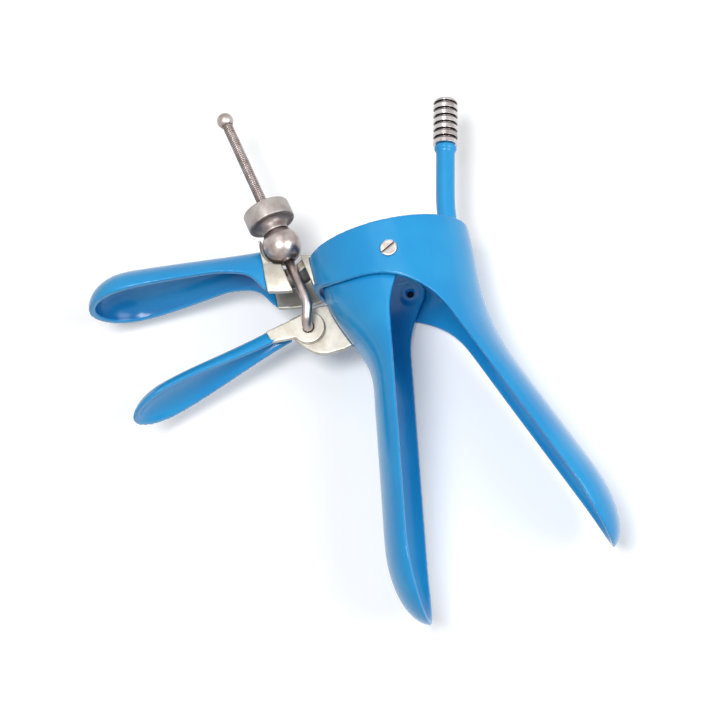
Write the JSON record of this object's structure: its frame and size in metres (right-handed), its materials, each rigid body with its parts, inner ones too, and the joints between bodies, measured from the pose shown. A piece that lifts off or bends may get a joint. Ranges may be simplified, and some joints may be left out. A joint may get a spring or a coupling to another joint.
{
  "type": "bivalve speculum",
  "caption": "Self-retaining bivalve speculum with coated steel blades, ball-seated screw spindle, thumb nut and a smoke tube with a ribbed hose nipple.",
  "frame": {"origin": "point of the pivot axis midway between the two pivot screws, in the middle of the viewing mouth", "axes": "the instrument lies on its side: +Z is the pivot axis, +X is the way the blades point, +Y is the back of the outer valve and the handles reach out to -Y"},
  "size_m": [0.1533, 0.1269, 0.0396],
  "materials": {
    "blue_coat": "smooth glossy blue insulating coat",
    "satin_steel": "matt stainless steel",
    "bare_steel": "polished stainless steel",
    "nipple_chrome": "bright chrome plate"
  },
  "bodies": {
    "ring_frame": {"outer_valve": "blue_coat", "upper_flange": "satin_steel", "upper_handle": "blue_coat", "smoke_tube": "blue_coat", "hose_nipple": "nipple_chrome", "tube_clip_mouth": "blue_coat", "tube_clip_blade": "blue_coat"},
    "inner_blade": {"inner_valve": "blue_coat", "inner_lug": "satin_steel", "lower_handle_eye": "satin_steel", "lower_handle": "blue_coat", "near_pivot_screw": "bare_steel", "far_pivot_screw": "bare_steel", "near_pivot_boss": "blue_coat", "far_pivot_boss": "blue_coat"},
    "spindle_arm": {"spindle": "bare_steel", "spindle_stop_ball": "bare_steel", "eye_washer": "bare_steel"},
    "swivel": {"swivel_ball": "bare_steel"},
    "nut": {"thumb_nut": "satin_steel"}
  },
  "joints": [
    {"name": "valve_pivot", "type": "hinge", "parent": "ring_frame", "child": "inner_blade", "pos_m": [0, 0, 0], "axis": [0, 0, 1], "range_deg": [-4.1, 29.9]},
    {"name": "spindle_swing", "type": "hinge", "parent": "inner_blade", "child": "spindle_arm", "pos_m": [0.0085, -0.0273, 0], "axis": [0, 0, 1], "range_deg": [-21.95, 3.1]},
    {"name": "ball_travel", "type": "slide", "parent": "spindle_arm", "child": "swivel", "axis": [-0.9781, -0.2079, 0], "range_m": [-0.0021, 0.01425]},
    {"name": "nut_spin", "type": "hinge", "parent": "swivel", "child": "nut", "pos_m": [-0.0145, -0.0294, 0.005], "axis": [-0.9781, -0.2079, 0], "range_deg": [-1357, 10100]}
  ],
  "couplings": [
    {"joint": "valve_pivot", "follows": "nut_spin", "ratio": 0.0029473},
    {"joint": "spindle_swing", "follows": "nut_spin", "ratio": -0.0021515},
    {"joint": "ball_travel", "follows": "nut_spin", "m_per_rad": 0.000079577}
  ]
}
